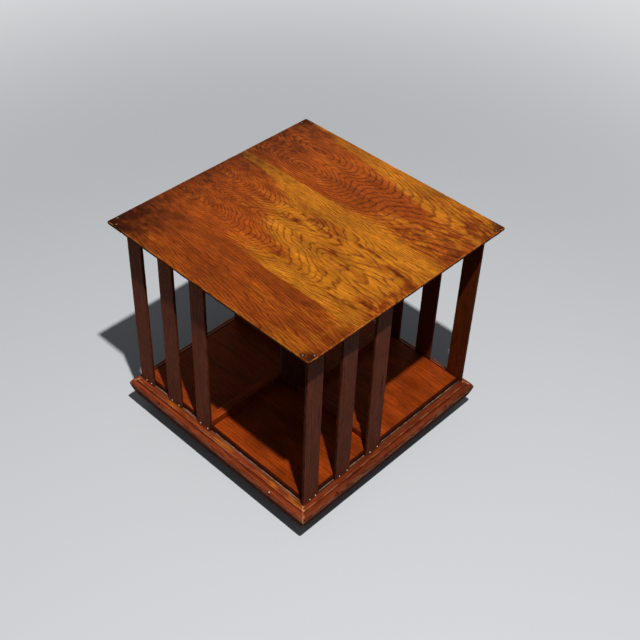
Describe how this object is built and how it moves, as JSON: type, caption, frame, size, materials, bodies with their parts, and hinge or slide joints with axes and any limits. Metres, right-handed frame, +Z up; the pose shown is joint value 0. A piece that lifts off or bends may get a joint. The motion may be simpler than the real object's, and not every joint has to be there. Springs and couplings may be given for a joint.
{
  "type": "revolving desktop bookcase",
  "caption": "Square tabletop bookcase with a flat top on slats, open book bays on every side, and a moulded base that turns on a low fixed foot.",
  "frame": {"origin": "on the table top, under the axis on which the case turns", "axes": "+Z up along the spindle; -Y is the front side; the sides are square with X and Y"},
  "size_m": [0.37, 0.37, 0.3465],
  "materials": {
    "top_oak": "old amber varnish, satin, flat-sawn oak",
    "slat_oak": "dark stained, dull",
    "edge_oak": "worn, greyed varnish",
    "moulding_oak": "old red-brown varnish, satin",
    "floor_oak": "old amber varnish, dull",
    "divider_oak": "old amber varnish, dull",
    "column_oak": "dark stained, dull",
    "frame_oak": "thin stain, unvarnished",
    "foot_oak": "dark stained, dull",
    "button_wood": "ebonised, satin",
    "nail_steel": "small bright brads",
    "screw_steel": "plain steel",
    "swivel_steel": "turned steel, oiled",
    "swivel_iron": "blackened casting",
    "swivel_brass": "turned brass"
  },
  "bodies": {
    "foot": {"foot_arm_lower": "foot_oak", "foot_arm_upper": "foot_oak", "foot_buttons": "button_wood", "spindle_plate": "swivel_iron", "spindle": "swivel_steel", "spindle_plate_screws": "screw_steel", "thrust_washer": "swivel_brass"},
    "case": {"base_moulding_back": "moulding_oak", "base_moulding_front": "moulding_oak", "base_moulding_left": "moulding_oak", "base_moulding_right": "moulding_oak", "bearing_plate": "swivel_steel", "bearing_plate_screws": "screw_steel", "bearing_rail": "frame_oak", "cleat_left": "frame_oak", "cleat_nails": "nail_steel", "cleat_right": "frame_oak", "column": "column_oak", "corner_nails": "nail_steel", "divider_back": "divider_oak", "divider_front": "divider_oak", "divider_left": "divider_oak", "divider_right": "divider_oak", "edge_rail_back": "edge_oak", "edge_rail_front": "edge_oak", "edge_rail_left": "edge_oak", "edge_rail_right": "edge_oak", "floor_board_back": "floor_oak", "floor_board_front": "floor_oak", "moulding_nails": "nail_steel", "slat_back_1": "slat_oak", "slat_back_2": "slat_oak", "slat_back_3": "slat_oak", "slat_front_1": "slat_oak", "slat_front_2": "slat_oak", "slat_front_3": "slat_oak", "slat_left_1": "slat_oak", "slat_left_2": "slat_oak", "slat_left_3": "slat_oak", "slat_nails": "nail_steel", "slat_right_1": "slat_oak", "slat_right_2": "slat_oak", "slat_right_3": "slat_oak", "top_board_back": "top_oak", "top_board_front": "top_oak", "top_board_middle": "top_oak", "top_bush": "swivel_brass", "top_rail_back": "frame_oak", "top_rail_front": "frame_oak", "top_rail_left": "frame_oak", "top_rail_right": "frame_oak"}
  },
  "joints": [
    {"name": "case_turn", "type": "hinge", "parent": "foot", "child": "case", "pos_m": [0, 0, 0], "axis": [0, 0, 1], "continuous": true}
  ]
}
